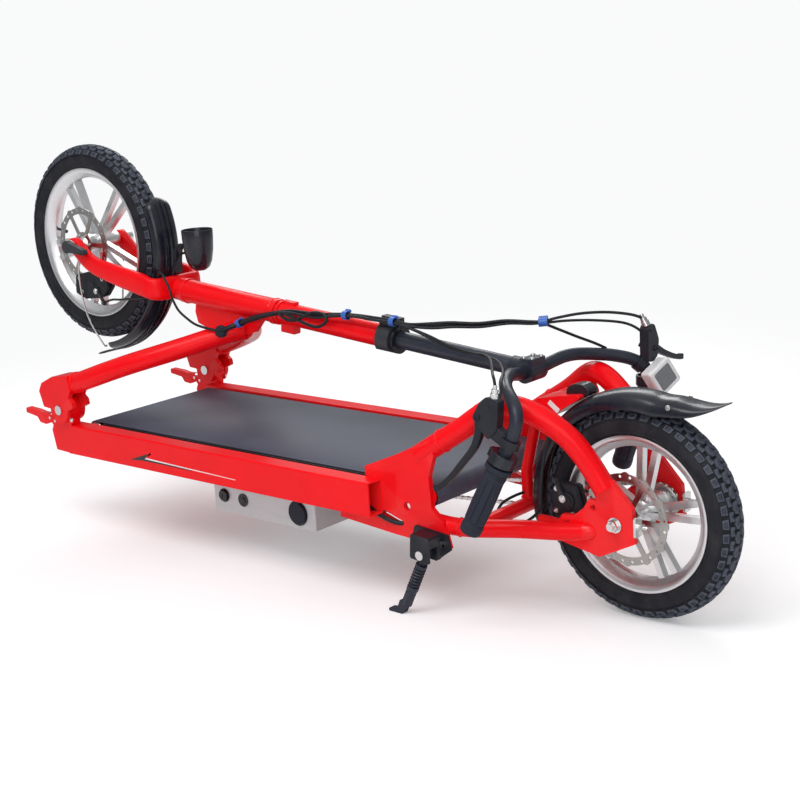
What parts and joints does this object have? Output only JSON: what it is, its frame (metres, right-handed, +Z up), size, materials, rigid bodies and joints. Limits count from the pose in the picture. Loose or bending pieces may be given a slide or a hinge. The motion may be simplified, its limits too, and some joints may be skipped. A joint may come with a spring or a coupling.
{
  "type": "folding walking bicycle",
  "caption": "Stand-on two-wheeled electric bicycle with a walking belt for a deck, shown folded with its front frame and wheel swung back over the deck.",
  "frame": {"origin": "centre of the walking belt's top face, in the middle plane of the frame; the ground is 0.223 m below it and the rear axle 0.768 m behind it", "axes": "+X forward along the deck, +Y to the rider's left, +Z up"},
  "size_m": [1.7365, 0.5418, 0.7724],
  "materials": {
    "red_paint": "glossy bright red enamel",
    "cast_alloy": "satin cast alloy",
    "disc_steel": "ground steel disc",
    "plated_steel": "bright zinc plate",
    "tyre_rubber": "matt black tyre rubber",
    "belt_rubber": "slate grey ribbed belt",
    "grip_rubber": "matt dark rubber",
    "bar_paint": "satin blue-black coating",
    "black_plastic": "matt black moulding",
    "black_anodised": "black anodised",
    "case_metal": "light grey coated sheet",
    "white_metal": "white gloss coating",
    "bed_wood": "waxed plywood board",
    "cell_wrap": "shrink-wrapped cells"
  },
  "bodies": {
    "rear_chassis": {"rear_frame": "red_paint", "deck_rails": "red_paint", "slide_bed": "bed_wood", "walking_belt": "belt_rubber", "roller_bearings": "plated_steel", "belly_case": "case_metal", "battery_pack": "cell_wrap", "motor_controller": "black_anodised", "drive_motor": "black_anodised", "drive_chain": "plated_steel", "rear_axle": "plated_steel", "rear_axle_nuts": "plated_steel", "chain_adjusters": "plated_steel", "rear_caliper": "black_anodised", "rear_fender": "black_plastic", "kickstand_bracket": "black_anodised", "kickstand_bolts": "plated_steel", "fold_hinge_pins": "plated_steel"},
    "front_chassis": {"front_frame": "red_paint", "headset_bearings": "plated_steel"},
    "steering": {"fork": "red_paint", "steering_column": "red_paint", "column_clamp": "black_anodised", "front_axle": "plated_steel", "front_caliper": "black_anodised", "front_fender": "black_plastic", "headlamp": "black_plastic"},
    "handlebar_stem": {"stem_post": "bar_paint", "bar_clamp": "bar_paint", "handlebar": "bar_paint", "left_grip": "grip_rubber", "left_brake_body": "black_anodised", "right_brake_body": "black_anodised", "display": "white_metal"},
    "rear_wheel": {"rear_rim": "cast_alloy", "rear_tyre": "tyre_rubber", "rear_rotor": "disc_steel", "rear_hub_bearings": "plated_steel", "wheel_sprocket": "plated_steel"},
    "front_wheel": {"front_rim": "cast_alloy", "front_tyre": "tyre_rubber", "front_rotor": "disc_steel"},
    "motor_pinion": {"motor_sprocket": "plated_steel"},
    "rear_belt_roller": {"rear_roller": "plated_steel"},
    "front_belt_roller": {"front_roller": "plated_steel"},
    "kickstand": {"kickstand_leg": "bar_paint"},
    "left_lever": {"left_brake_lever": "black_anodised"},
    "right_lever": {"right_brake_lever": "black_anodised"},
    "front_brake_arm": {"front_caliper_arm": "plated_steel"},
    "rear_brake_arm": {"rear_caliper_arm": "plated_steel"},
    "throttle": {"throttle_grip": "grip_rubber"},
    "column_lever": {"column_clamp_lever": "black_anodised"},
    "left_bolt": {"left_swing_bolt": "plated_steel"},
    "right_bolt": {"right_swing_bolt": "plated_steel"},
    "left_cam": {"left_clamp_lever": "red_paint"},
    "right_cam": {"right_clamp_lever": "red_paint"},
    "axle_lever": {"qr_lever": "black_anodised"},
    "start_button": {"power_button": "black_plastic"},
    "key": {"key_switch": "plated_steel"},
    "charge_cap": {"port_cap": "grip_rubber"}
  },
  "joints": [
    {"name": "frame_fold", "type": "hinge", "parent": "rear_chassis", "child": "front_chassis", "pos_m": [0.482, 0, 0.03295], "axis": [0, 1, 0], "range_deg": [0, 81]},
    {"name": "steering_turn", "type": "hinge", "parent": "front_chassis", "child": "steering", "pos_m": [0.314, 0, 0.25495], "axis": [-0.9957, 0, -0.0927], "range_deg": [-5, 5]},
    {"name": "stem_height", "type": "slide", "parent": "steering", "child": "handlebar_stem", "axis": [-0.9957, 0, -0.0927], "range_m": [-0.02, 0]},
    {"name": "rear_wheel_spin", "type": "hinge", "parent": "rear_chassis", "child": "rear_wheel", "pos_m": [-0.768, 0, -0.04205], "axis": [0, 1, 0], "continuous": true},
    {"name": "motor_pinion_spin", "type": "hinge", "parent": "rear_chassis", "child": "motor_pinion", "pos_m": [-0.223, 0, -0.09505], "axis": [0, 1, 0], "continuous": true},
    {"name": "front_wheel_spin", "type": "hinge", "parent": "steering", "child": "front_wheel", "pos_m": [0.581, 0, 0.34295], "axis": [0, 1, 0], "continuous": true},
    {"name": "front_roller_spin", "type": "hinge", "parent": "rear_chassis", "child": "front_belt_roller", "pos_m": [0.45, 0, -0.02005], "axis": [0, 1, 0], "continuous": true},
    {"name": "rear_roller_spin", "type": "hinge", "parent": "rear_chassis", "child": "rear_belt_roller", "pos_m": [-0.45, 0, -0.02005], "axis": [0, 1, 0], "continuous": true},
    {"name": "kickstand_swing", "type": "hinge", "parent": "rear_chassis", "child": "kickstand", "pos_m": [-0.465, 0.198, -0.10905], "axis": [0, 1, 0], "range_deg": [0, 105]},
    {"name": "left_brake_pull", "type": "hinge", "parent": "handlebar_stem", "child": "left_lever", "pos_m": [-0.596, 0.195, 0.14295], "axis": [0, 1, 0], "range_deg": [0, 14], "stiffness_Nm_per_rad": 0.5},
    {"name": "right_brake_pull", "type": "hinge", "parent": "handlebar_stem", "child": "right_lever", "pos_m": [-0.667, -0.199, 0.18295], "axis": [1, 0, 0], "range_deg": [-14, 0], "stiffness_Nm_per_rad": 0.5},
    {"name": "front_caliper_pull", "type": "hinge", "parent": "steering", "child": "front_brake_arm", "pos_m": [0.538, 0.0455, 0.24695], "axis": [0, 1, 0], "range_deg": [-14, 14]},
    {"name": "rear_caliper_pull", "type": "hinge", "parent": "rear_chassis", "child": "rear_brake_arm", "pos_m": [-0.656, 0.06, -0.02005], "axis": [0, 1, 0], "range_deg": [-14, 14]},
    {"name": "throttle_twist", "type": "hinge", "parent": "handlebar_stem", "child": "throttle", "pos_m": [-0.635, -0.2, 0.06995], "axis": [0.4059, -0.1717, -0.8977], "range_deg": [0, 60], "stiffness_Nm_per_rad": 0.2},
    {"name": "column_clamp_open", "type": "hinge", "parent": "steering", "child": "column_lever", "pos_m": [-0.24755, 0.014, 0.2348], "axis": [-0.9957, 0, -0.0927], "range_deg": [-100, 0]},
    {"name": "left_bolt_swing", "type": "hinge", "parent": "rear_chassis", "child": "left_bolt", "pos_m": [0.517, 0.2, 0.00295], "axis": [0, 1, 0], "range_deg": [0, 34]},
    {"name": "right_bolt_swing", "type": "hinge", "parent": "rear_chassis", "child": "right_bolt", "pos_m": [0.517, -0.2, 0.00295], "axis": [0, 1, 0], "range_deg": [0, 34]},
    {"name": "left_cam_open", "type": "hinge", "parent": "left_bolt", "child": "left_cam", "pos_m": [0.54, 0.2, 0.00595], "axis": [0, 1, 0], "range_deg": [0, 50]},
    {"name": "right_cam_open", "type": "hinge", "parent": "right_bolt", "child": "right_cam", "pos_m": [0.54, -0.2, 0.00595], "axis": [0, 1, 0], "range_deg": [0, 50]},
    {"name": "axle_lever_turn", "type": "hinge", "parent": "steering", "child": "axle_lever", "pos_m": [0.581, 0.08, 0.34295], "axis": [0, 1, 0], "range_deg": [0, 90]},
    {"name": "start_button_press", "type": "slide", "parent": "rear_chassis", "child": "start_button", "axis": [0, -1, 0], "range_m": [0, 0.0015], "stiffness_N_per_m": 400},
    {"name": "key_turn", "type": "hinge", "parent": "rear_chassis", "child": "key", "pos_m": [0.07, 0.16, -0.10105], "axis": [0, 1, 0], "range_deg": [0, 90]},
    {"name": "charge_cap_open", "type": "hinge", "parent": "rear_chassis", "child": "charge_cap", "pos_m": [-0.128, 0.1625, -0.07805], "axis": [1, 0, 0], "range_deg": [0, 90]}
  ],
  "couplings": [
    {"joint": "motor_pinion_spin", "follows": "rear_wheel_spin", "ratio": 1.875},
    {"joint": "rear_roller_spin", "follows": "front_roller_spin", "ratio": 1},
    {"joint": "front_caliper_pull", "follows": "left_brake_pull", "ratio": -1},
    {"joint": "rear_caliper_pull", "follows": "right_brake_pull", "ratio": 1}
  ]
}
